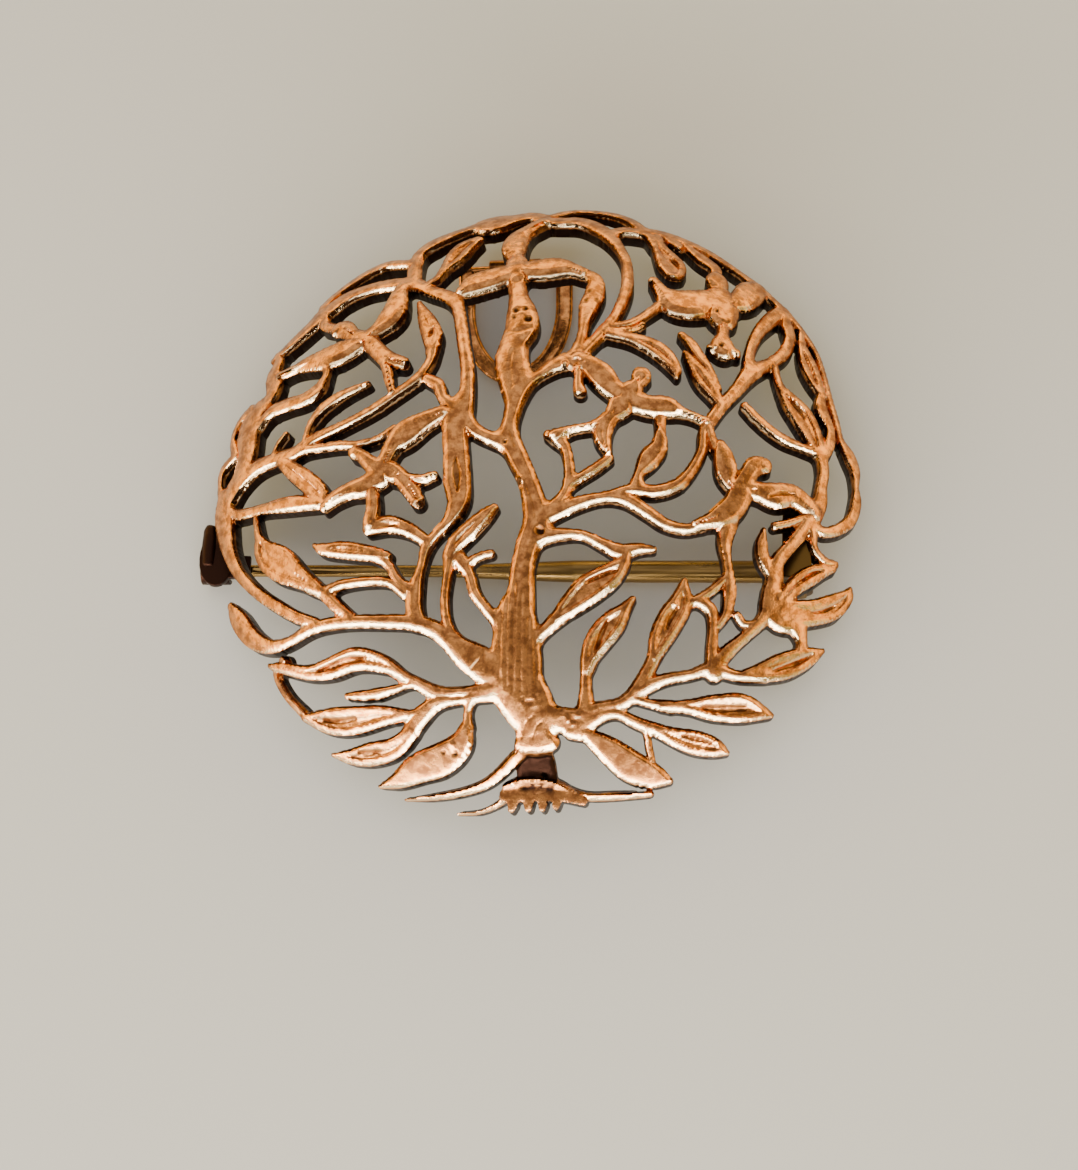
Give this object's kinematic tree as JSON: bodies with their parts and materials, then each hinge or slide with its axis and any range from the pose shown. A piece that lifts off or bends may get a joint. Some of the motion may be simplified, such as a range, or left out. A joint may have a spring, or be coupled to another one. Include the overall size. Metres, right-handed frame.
{
  "type": "tree of life brooch",
  "caption": "Domed openwork brooch cast as a tree with doves in its boughs, with a hinged pin and a fold-down bail on its back.",
  "frame": {"origin": "below the crown of the dome, on the plane that the fittings of the back touch", "axes": "+Z out of the dome's crown, +Y up the trunk of the tree, +X to the right of the tree as it is seen from the front"},
  "size_m": [0.0416, 0.0403, 0.0114],
  "materials": {
    "copper": "satin cast copper with darkened recesses",
    "brass": "drawn and polished"
  },
  "bodies": {
    "brooch": {"tree_casting": "copper", "hinge_rivet": "brass"},
    "pin": {"pin_stem": "brass"},
    "bail": {"bail": "copper"}
  },
  "joints": [
    {"name": "pin_hinge", "type": "hinge", "parent": "brooch", "child": "pin", "pos_m": [0.01599, -0.00411, 0.0009], "axis": [-0.0384, -0.9993, 0], "range_deg": [0, 100]},
    {"name": "bail_hinge", "type": "hinge", "parent": "brooch", "child": "bail", "pos_m": [-0.00175, 0.0172, 0.00065], "axis": [1, 0, 0], "range_deg": [0, 180]}
  ]
}
